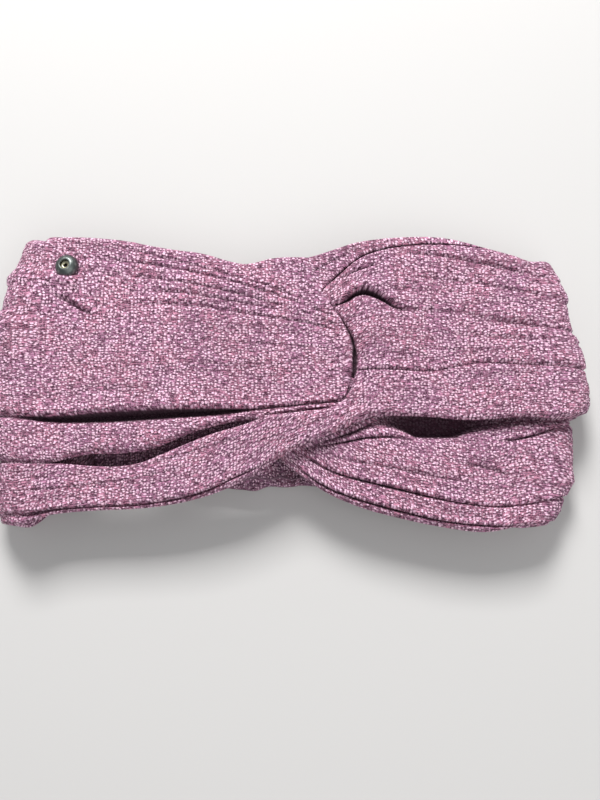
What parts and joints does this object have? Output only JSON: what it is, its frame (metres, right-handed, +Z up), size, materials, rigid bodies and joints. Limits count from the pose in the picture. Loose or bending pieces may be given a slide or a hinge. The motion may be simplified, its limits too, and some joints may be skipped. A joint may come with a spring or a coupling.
{
  "type": "spa headband",
  "caption": "Wide twist-front cloth headband laid flat, with two crossed pleated bands, a gathered elastic back and swivelling metal buttons.",
  "frame": {"origin": "on the ground, under the middle of the flattened loop", "axes": "+X along the flattened loop, towards the shorter side of the twist; +Y across the band, towards the edge that carries the buttons; +Z up"},
  "size_m": [0.2472, 0.1206, 0.0295],
  "materials": {
    "boucle_cloth": "nubby mauve slub weave, pale pink nubs over a dark plum ground",
    "casing_cloth": "the same weave, gathered over elastic",
    "thread": "plum polyester sewing thread",
    "elastic": "black woven elastic",
    "gunmetal": "satin gunmetal plating, worn brighter at the rim",
    "brass": "dull brass",
    "steel": "plain nickel-plated steel"
  },
  "bodies": {
    "band": {"left_band": "boucle_cloth", "right_band": "boucle_cloth", "back_casing": "casing_cloth", "back_elastic": "elastic", "left_side_seam_thread": "thread", "right_side_seam_thread": "thread", "left_band_seam_thread": "thread", "right_band_seam_thread": "thread", "casing_upper_channel_thread": "thread", "casing_seam_thread": "thread", "casing_lower_channel_thread": "thread", "left_button_core": "brass", "left_button_neck": "steel", "left_button_tack": "steel", "right_button_core": "brass", "right_button_neck": "steel", "right_button_tack": "steel"},
    "left_cap": {"left_button_cap": "gunmetal"},
    "right_cap": {"right_button_cap": "gunmetal"}
  },
  "joints": [
    {"name": "left_cap_swivel", "type": "hinge", "parent": "band", "child": "left_cap", "pos_m": [-0.09274, 0.05059, 0.02334], "axis": [-0.1285, 0.0456, 0.9907], "continuous": true},
    {"name": "right_cap_swivel", "type": "hinge", "parent": "band", "child": "right_cap", "pos_m": [0.08397, 0.04264, 0.00715], "axis": [-0.021, 0.1187, -0.9927], "continuous": true}
  ]
}
